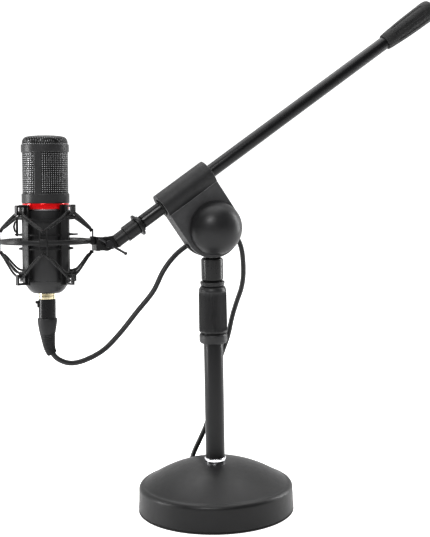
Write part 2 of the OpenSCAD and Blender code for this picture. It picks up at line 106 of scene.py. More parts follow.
def round_profile(pts, seg=4):
    """pts: (r, z[, fillet]) in mm, in order. Corners with a fillet become arcs."""
    out = []
    n = len(pts)
    for i, p in enumerate(pts):
        f = p[2] if len(p) > 2 else 0
        if not f or i == 0 or i == n - 1:
            out.append((p[0], p[1]))
            continue
        a, b, c = Vector(pts[i - 1][:2]), Vector(p[:2]), Vector(pts[i + 1][:2])
        u, v = (a - b), (c - b)
        lu, lv = u.length, v.length
        u.normalize(); v.normalize()
        ang = u.angle(v)
        t = f / math.tan(ang / 2)
        t = min(t, lu * 0.49, lv * 0.49)
        f = t * math.tan(ang / 2)
        bis = (u + v).normalized()
        cen = b + bis * (f / math.sin(ang / 2))
        p0, p1 = b + u * t, b + v * t
        a0 = math.atan2(p0[1] - cen[1], p0[0] - cen[0])
        a1 = math.atan2(p1[1] - cen[1], p1[0] - cen[0])
        d = a1 - a0
        while d > pi: d -= 2 * pi
        while d < -pi: d += 2 * pi
        for k in range(seg + 1):
            q = a0 + d * k / seg
            out.append((cen[0] + f * cos(q), cen[1] + f * sin(q)))
    return out


def lathe_bm(bm, prof, M=I, seg=96, closed=False, shape=None):
    """Turns a profile (mm) round local Z into bm. shape(r, phi, z) may change the radius."""
    rings = []
    uvl = bm.loops.layers.uv.verify()
    for (r, z) in prof:
        if r < 1e-6:
            rings.append([bm.verts.new(M @ Vector((0, 0, z * MM)))])
        else:
            ring = []
            for k in range(seg):
                ph = 2 * pi * k / seg
                rr = shape(r, ph, z) if shape else r
                ring.append(bm.verts.new(M @ Vector((rr * cos(ph) * MM, rr * sin(ph) * MM, z * MM))))
            rings.append(ring)
    acc = [0.0]
    for i in range(1, len(prof)):
        acc.append(acc[-1] + math.hypot(prof[i][0] - prof[i - 1][0], prof[i][1] - prof[i - 1][1]))
    pairs = list(range(len(rings) - 1)) + ([len(rings) - 1] if closed else [])
    for i in pairs:
        A, B = rings[i], rings[(i + 1) % len(rings)]
        va, vb = acc[i], acc[(i + 1) % len(rings)]
        if len(A) == 1 and len(B) == 1:
            continue
        for k in range(seg):
            k2 = (k + 1) % seg
            if len(A) == 1:
                f = bm.faces.new((A[0], B[k2], B[k])); uv = [((k + .5) / seg, va), ((k + 1) / seg, vb), (k / seg, vb)]
            elif len(B) == 1:
                f = bm.faces.new((A[k], A[k2], B[0])); uv = [(k / seg, va), ((k + 1) / seg, va), ((k + .5) / seg, vb)]
            else:
                f = bm.faces.new((A[k], A[k2], B[k2], B[k])); uv = [(k / seg, va), ((k + 1) / seg, va), ((k + 1) / seg, vb), (k / seg, vb)]
            for l, q in zip(f.loops, uv):
                l[uvl].uv = q
    return bm


def finish_piece(o, body, mat, replaces=()):
    o.data.materials.clear()
    o.data.materials.append(mat)
    if body:
        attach(o, body)
    if replaces:
        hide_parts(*replaces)
    return o


def lathe(name, prof, M, body, mat, replaces=(), seg=96, closed=True, shape=None, sharp=32, fseg=4):
    bm = bmesh.new()
    lathe_bm(bm, round_profile(prof, fseg), M, seg, closed, shape)
    return finish_piece(new_object(name, bm, sharp), body, mat, replaces)


def cad_copy(node, mat, bevel=0.4, seg=2, angle=30, dissolve=4, name=None, body=None, keep=()):
    """The CAD part's own shape as a clean mesh, with softened edges."""
    src = frame["nodes"][node]
    bm = bmesh.new()
    bm.from_mesh(src.data)
    bmesh.ops.remove_doubles(bm, verts=bm.verts, dist=2e-6)
    bmesh.ops.dissolve_degenerate(bm, dist=1e-6, edges=bm.edges)
    bmesh.ops.dissolve_limit(bm, angle_limit=rad(dissolve), verts=bm.verts, edges=bm.edges)
    o = new_object(name or node + "_look", bm, 32)
    if bevel:
        m = o.modifiers.new("edge", "BEVEL")
        m.width = bevel * MM
        m.segments = seg
        m.limit_method = "ANGLE"
        m.angle_limit = rad(angle)
        m.use_clamp_overlap = True
        m.harden_normals = False
    w = o.modifiers.new("normals", "WEIGHTED_NORMAL")
    w.keep_sharp = True
    o.data.materials.clear()
    o.data.materials.append(mat)
    if body is None:
        body = BODY[node]
    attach(o, body)
    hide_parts(node)
    return o


BODY = {}
for b, members in frame["record"]["behaviour"]["bodies"].items():
    for n in members:
        BODY[n] = b


def box_bm(bm, M, x0, y0, z0, x1, y1, z1, bevel=0.0, seg=2):
    r = bmesh.ops.create_cube(bm, size=1.0)
    vs = r["verts"]
    for v in vs:
        v.co = Vector(((x0 + x1) / 2 + v.co.x * (x1 - x0), (y0 + y1) / 2 + v.co.y * (y1 - y0),
                       (z0 + z1) / 2 + v.co.z * (z1 - z0))) * MM
    if bevel:
        es = list({e for v in vs for e in v.link_edges})
        g = bmesh.ops.bevel(bm, geom=es, offset=bevel * MM, segments=seg, affect="EDGES", profile=0.5, clamp_overlap=True)
        vs = list({v for f in g["faces"] for v in f.verts} | {v for v in vs if v.is_valid})
    for v in vs:
        v.co = M @ v.co
    return vs


def tube_bm(bm, pts, radius, seg=16, caps=True, up=None, shape=None):
    """A round tube along pts (metres). radius may be a list. Parallel frames."""
    n = len(pts)
    P = [Vector(p) for p in pts]
    tang = []
    for i in range(n):
        d = P[min(i + 1, n - 1)] - P[max(i - 1, 0)]
        tang.append(d.normalized())
    u = Vector(up) if up else Vector((0, 1, 0))
    if abs(u.normalized().dot(tang[0])) > 0.95:
        u = Vector((1, 0, 0))
    u = (u - tang[0] * u.dot(tang[0])).normalized()
    rings = []
    uvl = bm.loops.layers.uv.verify()
    acc = [0.0]
    for i in range(1, n):
        acc.append(acc[-1] + (P[i] - P[i - 1]).length)
    for i in range(n):
        if i:
            u = (u - tang[i] * u.dot(tang[i])).normalized()
        v = tang[i].cross(u)
        r = radius[i] if isinstance(radius, (list, tuple)) else radius
        rings.append([bm.verts.new(P[i] + (u * cos(2 * pi * k / seg) + v * sin(2 * pi * k / seg)) * r) for k in range(seg)])
    for i in range(n - 1):
        for k in range(seg):
            k2 = (k + 1) % seg
            f = bm.faces.new((rings[i][k], rings[i][k2], rings[i + 1][k2], rings[i + 1][k]))
            for l, q in zip(f.loops, [(k / seg, acc[i]), ((k + 1) / seg, acc[i]), ((k + 1) / seg, acc[i + 1]), (k / seg, acc[i + 1])]):
                l[uvl].uv = (q[0], q[1] / MM)
    if caps:
        bm.faces.new(list(reversed(rings[0])))
        bm.faces.new(rings[-1])
    return bm


def spline(pts, step=0.002):
    """Centripetal-like smooth line through pts (metres), evenly spaced."""
    P = [Vector(p) for p in pts]
    n = len(P)
    raw = []
    for i in range(n - 1):
        p0 = P[i - 1] if i else P[0] + (P[0] - P[1])
        p1, p2 = P[i], P[i + 1]
        p3 = P[i + 2] if i + 2 < n else P[-1] + (P[-1] - P[-2])
        t0 = 0.0
        t1 = t0 + max((p1 - p0).length, 1e-9) ** 0.5
        t2 = t1 + max((p2 - p1).length, 1e-9) ** 0.5
        t3 = t2 + max((p3 - p2).length, 1e-9) ** 0.5
        for k in range(24):
            t = t1 + (t2 - t1) * k / 24
            a1 = p0 * ((t1 - t) / (t1 - t0)) + p1 * ((t - t0) / (t1 - t0))
            a2 = p1 * ((t2 - t) / (t2 - t1)) + p2 * ((t - t1) / (t2 - t1))
            a3 = p2 * ((t3 - t) / (t3 - t2)) + p3 * ((t - t2) / (t3 - t2))
            b1 = a1 * ((t2 - t) / (t2 - t0)) + a2 * ((t - t0) / (t2 - t0))
            b2 = a2 * ((t3 - t) / (t3 - t1)) + a3 * ((t - t1) / (t3 - t1))
            raw.append(b1 * ((t2 - t) / (t2 - t1)) + b2 * ((t - t1) / (t2 - t1)))
    raw.append(P[-1])
    # even spacing
    L = [0.0]
    for i in range(1, len(raw)):
        L.append(L[-1] + (raw[i] - raw[i - 1]).length)
    m = max(2, int(round(L[-1] / step)))
    out, j = [], 0
    for k in range(m + 1):
        d = L[-1] * k / m
        while j < len(L) - 2 and L[j + 1] < d:
            j += 1
        f = (d - L[j]) / max(L[j + 1] - L[j], 1e-12)
        out.append(raw[j].lerp(raw[j + 1], min(1, max(0, f))))
    return out


def length_of(pts):
    return sum((pts[i + 1] - pts[i]).length for i in range(len(pts) - 1))


# ------------------------------------------------------------------ materials
def material(name, color, rough=0.5, metal=0.0, coat=0.0, ior=1.5, spec=0.5,
             grain=0.0, grain_scale=900.0, mottle=0.0, mottle_scale=60.0, rough_var=0.0, rough_scale=120.0,
             sheen=0.0, wave=None):
    m = bpy.data.materials.new(name)
    m.use_nodes = True
    nt = m.node_tree
    b = nt.nodes["Principled BSDF"]
    b.inputs["Base Color"].default_value = (*color, 1)
    b.inputs["Roughness"].default_value = rough
    b.inputs["Metallic"].default_value = metal
    b.inputs["IOR"].default_value = ior
    b.inputs["Specular IOR Level"].default_value = spec
    b.inputs["Coat Weight"].default_value = coat
    b.inputs["Coat Roughness"].default_value = 0.12
    b.inputs["Sheen Weight"].default_value = sheen
    tc = nt.nodes.new("ShaderNodeTexCoord")
    def noise_node(scale, detail=3.0, roughness=0.5):
        n = nt.nodes.new("ShaderNodeTexNoise")
        n.inputs["Scale"].default_value = scale
        n.inputs["Detail"].default_value = detail
        n.inputs["Roughness"].default_value = roughness
        nt.links.new(tc.outputs["Object"], n.inputs["Vector"])
        return n
    if mottle:
        n = noise_node(mottle_scale, 4.0, 0.6)
        r = nt.nodes.new("ShaderNodeValToRGB")
        r.color_ramp.elements[0].position = 0.3
        r.color_ramp.elements[1].position = 0.7
        r.color_ramp.elements[0].color = (*[max(0, c * (1 - mottle)) for c in color], 1)
        r.color_ramp.elements[1].color = (*[min(1, c * (1 + mottle)) for c in color], 1)
        nt.links.new(n.outputs["Fac"], r.inputs["Fac"])
        nt.links.new(r.outputs["Color"], b.inputs["Base Color"])
    if rough_var:
        n = noise_node(rough_scale, 4.0, 0.55)
        mr = nt.nodes.new("ShaderNodeMapRange")
        mr.inputs["From Min"].default_value = 0.25
        mr.inputs["From Max"].default_value = 0.75
        mr.inputs["To Min"].default_value = max(0.02, rough - rough_var)
        mr.inputs["To Max"].default_value = min(1.0, rough + rough_var)
        nt.links.new(n.outputs["Fac"], mr.inputs["Value"])
        nt.links.new(mr.outputs["Result"], b.inputs["Roughness"])
    last = None
    if wave:
        uv = nt.nodes.new("ShaderNodeUVMap")
        mp = nt.nodes.new("ShaderNodeMapping")
        mp.inputs["Scale"].default_value = (wave[0], wave[1], 1)
        nt.links.new(uv.outputs["UV"], mp.inputs["Vector"])
        mp.inputs["Rotation"].default_value = (0, 0, wave[4] if len(wave) > 4 else 0)
        w = nt.nodes.new("ShaderNodeTexChecker" if wave[2] == "checker" else "ShaderNodeTexWave")
        if wave[2] == "checker":
            w.inputs["Scale"].default_value = 1.0
        else:
            w.wave_type = "BANDS"
            w.bands_direction = wave[2]
            w.inputs["Scale"].default_value = 1.0
        nt.links.new(mp.outputs["Vector"], w.inputs["Vector"])
        bp = nt.nodes.new("ShaderNodeBump")
        bp.inputs["Strength"].default_value = wave[3]
        bp.inputs["Distance"].default_value = 0.0003
        nt.links.new(w.outputs["Fac"], bp.inputs["Height"])
        last = bp
    if grain:
        n = noise_node(grain_scale, 2.0, 0.6)
        bp = nt.nodes.new("ShaderNodeBump")
        bp.inputs["Strength"].default_value = grain
        bp.inputs["Distance"].default_value = 0.0002
        nt.links.new(n.outputs["Fac"], bp.inputs["Height"])
        if last:
            nt.links.new(last.outputs["Normal"], bp.inputs["Normal"])
        last = bp
    if last:
        nt.links.new(last.outputs["Normal"], b.inputs["Normal"])
    return m


M_CAST = material("casting_black", (0.026, 0.026, 0.027), 0.5, grain=0.35, grain_scale=1500, mottle=0.15, mottle_scale=90, rough_var=0.06)
# painted light: a lighter copy of casting_black for the cheek face turned towards the camera
M_FACE_PAINTED_LIGHT = material("casting_face_painted_light", (0.062, 0.062, 0.064), 0.46, grain=0.35, grain_scale=1500, mottle=0.15, mottle_scale=90, rough_var=0.06)
# painted highlight: a bright, metallic colour for the clamp's bevelled edges
M_EDGE_PAINTED_HIGHLIGHT = material("casting_edge_painted_highlight", (0.15, 0.15, 0.153), 0.34, 0.3, grain=0.1, grain_scale=1500, mottle=0.2, mottle_scale=200)
M_SOCKET = material("socket_black", (0.02, 0.02, 0.0205), 0.28, grain=0.05, grain_scale=1500, rough_var=0.04, mottle=0.1)
M_BASE = material("base_paint", (0.014, 0.014, 0.0145), 0.42, grain=0.3, grain_scale=1300, mottle=0.12, mottle_scale=30, rough_var=0.05)
M_PAD = material("pad_rubber", (0.008, 0.008, 0.008), 0.7, grain=0.3, rough_var=0.08)
M_ZINC = material("zinc_steel", (0.55, 0.56, 0.58), 0.32, 1.0, rough_var=0.08, grain=0.1)
M_CHROME = material("chrome_trim", (0.8, 0.8, 0.82), 0.08, 1.0, rough_var=0.03, rough_scale=300)
M_TUBE = material("tube_black", (0.010, 0.010, 0.011), 0.32, grain=0.03, grain_scale=1500, rough_var=0.03, mottle=0.08)
M_CLUTCH = material("clutch_black", (0.034, 0.034, 0.035), 0.42, grain=0.2, grain_scale=2200, rough_var=0.05, mottle=0.1)
M_NYLON = material("nylon_natural", (0.62, 0.6, 0.54), 0.5, grain=0.15, mottle=0.05)
M_NYLON_DARK = material("nylon_black", (0.02, 0.02, 0.02), 0.5, grain=0.15, mottle=0.1)
M_FIBRE = material("friction_fibre", (0.25, 0.18, 0.12), 0.8, grain=0.5, mottle=0.2)
M_KNOB = material("knob_plastic", (0.022, 0.022, 0.023), 0.41, grain=0.1, grain_scale=1800, rough_var=0.04, mottle=0.08)
M_BRASS = material("brass_insert", (0.75, 0.58, 0.3), 0.3, 1.0, rough_var=0.06)
M_GRIP = material("grip_rubber", (0.02, 0.02, 0.0205), 0.58, wave=(72, 1.0, "checker", 0.35), grain=0.35, grain_scale=1700, rough_var=0.05, mottle=0.15)
M_BOOT = material("boot_rubber", (0.022, 0.022, 0.023), 0.55, grain=0.3, grain_scale=1500, mottle=0.15)
M_PLASTIC = material("mount_plastic", (0.014, 0.014, 0.0145), 0.42, grain=0.2, grain_scale=1600, rough_var=0.06, mottle=0.12)
M_TEE = material("tee_steel", (0.075, 0.075, 0.078), 0.34, 1.0, rough_var=0.06)
M_ELASTIC = material("elastic_fabric", (0.014, 0.014, 0.0145), 0.75, wave=(12, 1.6, "DIAGONAL", 0.9), sheen=0.2, mottle=0.2, mottle_scale=500)
M_FOAM = material("pad_foam", (0.012, 0.012, 0.012), 0.9, grain=0.7, grain_scale=900, mottle=0.2)
M_WIRE = material("wire_black", (0.012, 0.012, 0.012), 0.35, grain=0.1)
M_MIC = material("mic_black", (0.032, 0.032, 0.033), 0.4, grain=0.12, grain_scale=2600, rough_var=0.04, mottle=0.08)
M_RED = material("red_anodised", (0.72, 0.006, 0.010), 0.22, 0.35, coat=0.6, rough_var=0.03, rough_scale=200, mottle=0.05)
M_TRIM = material("trim_silver", (0.38, 0.38, 0.39), 0.3, 1.0, rough_var=0.05)
M_GOLD = material("capsule_gold", (0.78, 0.71, 0.52), 0.2, 1.0, rough_var=0.06)
M_INNER = material("inner_plastic", (0.02, 0.02, 0.02), 0.6, grain=0.2, mottle=0.1)
M_BOARD = material("board_green", (0.02, 0.12, 0.05), 0.5, grain=0.2, mottle=0.2)
M_PLUG = material("plug_black", (0.012, 0.012, 0.0125), 0.28, 0.1, grain=0.08, rough_var=0.05)
M_LEAD = material("lead_jacket", (0.03, 0.03, 0.031), 0.42, grain=0.15, grain_scale=1200, rough_var=0.06, mottle=0.1)
M_TIE = material("tie_red", (0.22, 0.02, 0.02), 0.85, grain=0.6, grain_scale=1500, sheen=0.3, mottle=0.2)


def mesh_material(name, pitch_u, pitch_v, wire, color, rough, metal, flat=False, gap_light=None):
    """Woven wire. The gaps are clear, or painted a light colour that stands in for light seen through the weave
    (painted light). UV is (turn share, mm).
    """
    m = bpy.data.materials.new(name)
    m.use_nodes = True
    nt = m.node_tree
    b = nt.nodes["Principled BSDF"]
    b.inputs["Base Color"].default_value = (*color, 1)
    b.inputs["Roughness"].default_value = rough
    b.inputs["Metallic"].default_value = metal
    sep = nt.nodes.new("ShaderNodeSeparateXYZ")
    if flat:    # weave laid out in the object's own X and Y, pitches in metres
        tc = nt.nodes.new("ShaderNodeTexCoord")
        nt.links.new(tc.outputs["Object"], sep.inputs["Vector"])
    else:
        uv = nt.nodes.new("ShaderNodeUVMap")
        nt.links.new(uv.outputs["UV"], sep.inputs["Vector"])
    def math_node(op, a, bb=None):
        n = nt.nodes.new("ShaderNodeMath")
        n.operation = op
        for k, v in enumerate((a, bb)):
            if v is None: continue
            if isinstance(v, (int, float)): n.inputs[k].default_value = v
            else: nt.links.new(v, n.inputs[k])
        return n.outputs[0]
    U_ = math_node("MULTIPLY", sep.outputs["X"], pitch_u)      # pitch_u: wires per turn
    V_ = math_node("MULTIPLY", sep.outputs["Y"], 1.0 / pitch_v)
    def bar(x):
        f = math_node("FRACT", x)
        d = math_node("ABSOLUTE", math_node("SUBTRACT", f, 0.5))
        return math_node("SUBTRACT", 0.5, d)                    # 0 at the wire's middle
    du, dv = bar(U_), bar(V_)
    lo = math_node("MINIMUM", du, dv)
    on = math_node("LESS_THAN", lo, wire / 2)
    # painted light: the gaps take a light colour that stands in for light seen through the weave
    if gap_light:
        mx = nt.nodes.new("ShaderNodeMix")
        mx.data_type = "RGBA"
        mx.inputs[6].default_value = (*gap_light, 1)
        mx.inputs[7].default_value = (*color, 1)
        nt.links.new(on, mx.inputs[0])
        nt.links.new(mx.outputs[2], b.inputs["Base Color"])
    else:
        nt.links.new(on, b.inputs["Alpha"])
    h = math_node("SUBTRACT", 0.5, lo)
    bp = nt.nodes.new("ShaderNodeBump")
    bp.inputs["Strength"].default_value = 0.8
    bp.inputs["Distance"].default_value = 0.0004
    nt.links.new(h, bp.inputs["Height"])
    nt.links.new(bp.outputs["Normal"], b.inputs["Normal"])
    return m


# ------------------------------------------------------------------ the lead
SWAG = [(-198.4, -5.4, 212.6), (-196.6, -5.4, 209.6), (-193, -5.2, 206), (-185, -5, 201.4),
        (-177, -4, 199.2), (-167.4, -3.5, 199.6), (-156.4, -3, 202.4), (-145, -1.5, 206.6),
        (-133, 1, 213), (-114, 5, 229), (-93, 8, 251), (-71, 11, 274), (-58, 13, 296),
        (-48, 15, 308), (-37.4, 17, 317.2), (-25, 17, 325.6), (-12, 17, 332.8), (0, 17, 337), (12, 17, 340)]
DROP = [(12, 17, 340), (24, 17, 340), (34, 17, 336), (41, 18, 328), (45, 18, 317),
        (47, 19, 305), (48, 21, 284), (46, 23, 268), (40, 25, 250), (35, 26, 234),
        (29, 28, 208), (24, 30, 193), (16, 32, 168), (10, 38, 128), (6, 46, 96),
        (1, 58, 73), (-1, 70, 58), (0, 83, 46.5), (2, 95, 36), (5, 104, 23), (7, 109, 15),
        (9, 113.2, 9.4), (11.3, 119, 4.9), (13, 126, 3)]
TAIL = [(75, 137, 15.2), (76.5, 126, 15.3), (74.5, 115, 15.8), (69, 107, 16.8), (60, 102, 17.2), (52, 101, 17.3)]
COIL = (46, 126)
LR = 3 * MM
tomm = lambda ps: [Vector(p) * MM for p in ps]


def smoothstep(a, b, x):
    t = min(1, max(0, (x - a) / (b - a)))
    return t * t * (3 - 2 * t)


def coil_points():
    out = []
    a = 0.0
    while a <= 1236:
        r = 33 - 6 * smoothstep(300, 360, a) + 6 * smoothstep(896, 958, a)
        z = 3 + 6 * smoothstep(596, 660, a) + 6.2 * smoothstep(1170, 1236, a)
        r -= 2.0 * smoothstep(1190, 1240, a)
        th = rad(180 - a)
        out.append((COIL[0] + r * cos(th), COIL[1] + r * sin(th), z))
        a += 12
    return out


swag_line = spline(tomm(SWAG), 0.002)
drop_line = spline(tomm(DROP), 0.002)
coil_line = spline(tomm(coil_points()[0:] + TAIL[1:]), 0.003)


def lead_piece(name, pts, a, b, replaces=()):
    bm = bmesh.new()
    tube_bm(bm, pts, LR, 18)
    o = new_object(name, bm, 60)
    o.data.materials.append(M_LEAD)
    if b:
        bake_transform(o)
    else:
        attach(o, a)
    if replaces:
        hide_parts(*replaces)
    return o


def split(line, cuts):
    """cuts: arc lengths in metres where the line is cut."""
    L = [0.0]
    for i in range(1, len(line)):
        L.append(L[-1] + (line[i] - line[i - 1]).length)
    idx = [0] + [min(range(len(L)), key=lambda k: abs(L[k] - c)) for c in cuts] + [len(line) - 1]
    return [line[idx[i]:idx[i + 1] + 1] for i in range(len(idx) - 1)]


total = length_of(swag_line)
sw = split(swag_line, [0.045, 0.150, 0.215])
lead_piece("lead_swag_a", sw[0], "cradle", "ring_mount", replaces=("lead_swag",))
lead_piece("lead_swag_b", sw[1], "ring_mount", "boom")
lead_piece("lead_swag_c", sw[2], "boom", "liner")
lead_piece("lead_swag_d", sw[3], "liner", "clamp")
dr = split(drop_line, [0.070, 0.130])
lead_piece("lead_drop_a", dr[0], "clamp", "head", replaces=("lead_drop",))
lead_piece("lead_drop_b", dr[1], "head", "riser")
lead_piece("lead_drop_c", dr[2], "riser", "stand")
lead_piece("lead_coil_look", coil_line, "stand", None,
           replaces=("lead_coil", "lead_tail"))
print("LEAD", round(length_of(swag_line), 4), round(length_of(drop_line), 4), round(length_of(coil_line), 4),
      "total", round(length_of(swag_line) + length_of(drop_line) + length_of(coil_line), 4))


# ------------------------------------------------------------------ base, pole and clutch
def dome_z(r):
    f = max(0, (r - 14) / (88 - 14))
    return 34 + 27 * (1 - f ** 1.85)


outer = [(84, 2.5), (94.6, 2.5, 0.4), (95, 4.2, 1), (94.4, 12), (94.0, 27.5)]
outer += [(88 + 6 * cos(rad(a)), 28 + 6 * sin(rad(a))) for a in range(8, 91, 8)]
outer += [(r, dome_z(r)) for r in [86.5, 85, 83, 80, 76, 72, 68, 64, 60, 56, 52, 48, 44, 40, 36, 32, 28, 24, 20, 17, 15]]
outer += [(14, 61), (8.2, 61), (8.2, 44), (24, 44), (27, dome_z(27) - 9)]
outer += [(r, dome_z(r) - 9) for r in [33.4, 39.8, 46.1, 52.5, 58.9, 65.3, 71.6, 78]]
outer += [(84, 22)]
lathe("base_casting_look", outer, I, "stand", M_BASE, ["base_casting"], seg=192, sharp=40)
lathe("base_pad_look", [(84, 0), (94.2, 0, 0.7), (95, 0.8, 0.5), (94.8, 2.5), (84, 2.5)], I, "stand", M_PAD, ["base_pad"], seg=160)
lathe("foot_ring_look", [(11.7, 61), (13.1, 61, 0.2), (13.3, 62.2, 0.6), (13.1, 64.6, 0.6), (12.3, 65.6, 0.4), (11.7, 65.6)], I, "stand", M_CHROME, ["foot_ring"], seg=96)
lathe("pole_tube_look", [(10.7, 56), (11.7, 56, 0.3), (11.7, 216, 0.3), (10.7, 216)], I, "stand", M_TUBE, ["pole_tube"], seg=128)
lathe("clutch_body_look", [(11.7, 208), (15.6, 208, 0.8), (16.9, 210.4, 1.6), (16.9, 217.6, 1.2), (15.8, 219.3, 0.5), (13, 219.3),
                           (13, 262, 0.3), (11.6, 262), (11.6, 244), (9.9, 243), (9.9, 216), (11.7, 216)],
      I, "stand", M_CLUTCH, ["clutch_body"], seg=128)


def ribs(r, ph, z):
    if r < 16.3 or z < 223.2 or z > 270.5:
        return r
    k = min(1, (z - 223.2) / 1.0, (270.5 - z) / 1.2)
    return r - 0.8 * k * (0.5 - 0.5 * cos(ph * 64)) ** 0.7


grip_prof = [(13.5, 221.3), (16.4, 221.3, 0.3), (17.0, 222.3, 0.4), (17.0, 223.2), (17.0, 224.2)]
grip_prof += [(17.0 - 0.35 * (z - 224) / 46, z) for z in range(230, 269, 6)]
grip_prof += [(16.65, 269.4), (16.6, 270.5), (16.45, 272), (16.1, 273.7), (15.4, 275.3), (14.4, 276.5), (13.2, 277), (11, 277), (11, 270.6), (12.6, 270.2), (12.6, 263), (13.5, 262.6)]
lathe("clutch_grip_look", grip_prof, I, "height_clutch", M_CLUTCH, ["clutch_grip"], seg=512, shape=ribs, sharp=50)
cad_copy("clutch_collet", M_NYLON, bevel=0)
lathe("riser_tube_look", [(8.2, 84), (9.525, 84, 0.2), (9.525, 299, 0.2), (8.2, 299)], I, "riser", M_TUBE, ["riser_tube"], seg=96)
lathe("lock_ring_look", [(9.6, 277.5), (13.5, 277.5, 0.3), (14.1, 278.6, 0.4), (14.1, 279.7), (14.7, 280.3, 0.25), (14.7, 282.3, 0.4), (14.2, 282.8, 0.2), (9.6, 282.8)],
      I, "jam_ring", M_CLUTCH, ["lock_ring"], seg=96)
cad_copy("head_socket", M_SOCKET, bevel=0.5, seg=3, angle=35)

# ------------------------------------------------------------------ clamp and knob
o = cad_copy("clamp_front", M_CAST, bevel=0.8, seg=3, angle=25)
# the flat cheek face, turned towards -Y and the camera, takes a lighter copy of the casting colour as painted light,
# and the bevelled edges take a bright painted highlight
o.data.materials.append(M_FACE_PAINTED_LIGHT)
o.data.materials.append(M_EDGE_PAINTED_HIGHLIGHT)
# the bevel faces take the painted highlight
o.modifiers["edge"].material = 2
# painted light: big faces pointing towards -Y, the cheek facing the camera, take the lighter copy
for f in o.data.polygons:
    if f.normal.y < -0.98 and f.area > 6e-4:
        f.material_index = 1
cad_copy("clamp_rear", M_CAST, bevel=0.8, seg=3, angle=25)
KN = BOOM @ T(0, -12.4, 0) @ Rx(90)
kp = [(7, 0), (30.4, 0, 0.4), (31.5, 0.6, 0.6), (32, 2)]
kp += [(32 * cos(rad(a)), 2 + 27.5 * sin(rad(a))) for a in range(3, 88, 3)]
kp += [(0, 29.5)]
kp2 = kp + [(0, 22), (4.3, 22), (4.3, 17.4), (7, 17.4)]
lathe("ball_knob_look", kp2, KN, "knob", M_KNOB, ["ball_knob"], seg=160, closed=True, sharp=50)
for n, m, s, b in [("pivot_bolt", M_ZINC, "zinc_steel", 0.3), ("pivot_washer", M_ZINC, "zinc_steel", 0.2)]:
    cad_copy(n, m, bevel=b)

# ------------------------------------------------------------------ boom
AX = AXIS @ ALONG_X
TX = TIP @ ALONG_X
lathe("boom_liner_look", [(8.0, -37.5), (10.8, -37.5, 0.4), (10.8, -36.3), (9.45, -36.3), (9.45, 35.3), (10.8, 35.3), (10.8, 36.5, 0.4), (8.0, 36.5)],
      AXIS @ T(-1.7, 0, 0) @ ALONG_X, "liner", M_NYLON_DARK, ["boom_liner"], seg=96)
lathe("boom_tube_look", [(6.75, -66), (7.95, -66, 0.3), (7.95, 372, 0.3), (6.75, 372)], TX, "boom", M_TUBE, ["boom_tube"], seg=96)
GP = [(9.2, 311), (9.6, 311.3), (9.8, 312.2), (10.0, 313.2), (10.0, 314.2), (10.35, 316), (10.7, 322), (11.3, 330), (11.8, 338), (12.15, 346), (12.4, 354),
      (12.58, 362), (12.7, 370), (12.78, 376), (12.78, 380), (12.6, 382), (12.2, 384.2), (11.4, 386), (10.2, 387.1), (8.4, 387.8), (5, 388), (0, 388)]


def grip_shape(r, ph, z):
    if not 322 < z < 379 or r < 10:
        return r
    d = min(abs((ph - c + pi) % (2 * pi) - pi) for c in [rad(v) for v in range(33, 360, 45)]) * r
    lo, hi = 327 - max(0.0, 2.1 ** 2 - d * d) ** 0.5, 372 + max(0.0, 2.1 ** 2 - d * d) ** 0.5
    if d < 2.1 and lo < z < hi:
        k = min(1, (2.1 - d) / 0.8, (z - lo) / 0.9, (hi - z) / 0.9)
        return r - 0.7 * smoothstep(0, 1, k)
    return r


gp = [GP[0]]
for q in GP[1:]:
    p0 = gp[-1]
    m = max(1, int(abs(q[1] - p0[1]) / 0.9))
    for k in range(1, m + 1):
        gp.append((p0[0] + (q[0] - p0[0]) * k / m, p0[1] + (q[1] - p0[1]) * k / m))
lathe("boom_grip_look", [(7.95, 311)] + gp + [(0, 372), (7.95, 372)], TX, "boom", M_GRIP, ["boom_grip"], seg=240, shape=grip_shape, sharp=45)
thread = [(6.75, -48), (6.75, -66), (7.3, -66.2)]
z = -66.4
while z > -88:
    thread += [(7.9, z - 0.25), (7.9, z - 0.45), (7.35, z - 0.8)]
    z -= 0.94
thread += [(0, -89)]
lathe("boom_tip_look", thread + [(0, -48)], TX, "boom", M_TEE, ["boom_tip"], seg=64)
cad_copy("swivel_arm", M_PLASTIC, bevel=0.6, seg=3, angle=28)
lathe("lock_disc_look", [(7.95, -74.1), (12.4, -74.1, 0.2), (13.5, -73.5, 0.3), (13.5, -71.6, 0.3), (12.6, -71, 0.3), (10.2, -70.6, 0.5), (9.6, -68.4, 0.3), (7.95, -68.4)],
      TX, "disc", M_PLASTIC, ["lock_disc"], seg=96)

# ------------------------------------------------------------------ swivel and ring
TE = MOUNT @ T(0, -17.4, 0) @ Ry(30)
bm = bmesh.new()
lathe_bm(bm, [(0, -15.4), (0.9, -15.2), (1.6, -14.6), (1.95, -13.5), (1.6, -12.4), (1.3, -11.9), (1.3, 20.4), (1.6, 20.9), (1.95, 22), (1.6, 23.1), (0.9, 23.7), (0, 23.9)], TE @ ALONG_X, 32)
finish_piece(new_object("tee_bar_look", bm, 60), "tee", M_TEE, ["tee_bar"])
cad_copy("tee_screw", M_TEE, bevel=0.3)
cad_copy("swivel_nut", M_TEE, bevel=0.2)
cad_copy("ring_knuckle", M_PLASTIC, bevel=0.7, seg=3, angle=28)
bm = bmesh.new()
rr = 52.3
lathe_bm(bm, round_profile([(rr - 5.8, -1.4), (rr - 5.2, -2.6, 0.8), (rr - 3, -2.8), (rr - 0.6, -2.6, 0.8), (rr, -1.2, 0.6), (rr, 1.2, 0.6), (rr - 0.6, 2.6, 0.8), (rr - 3, 2.8), (rr - 5.2, 2.6, 0.8), (rr - 5.8, 1.4)], 3), MIC, 160, True)
box_bm(bm, MIC, 49.3, -5, -2.8, 52.2, 5, 2.8, 0.3)
box_bm(bm, MIC, 51.4, -5, -4.7, 56.7, 5, 4.7, 0.8, 3)
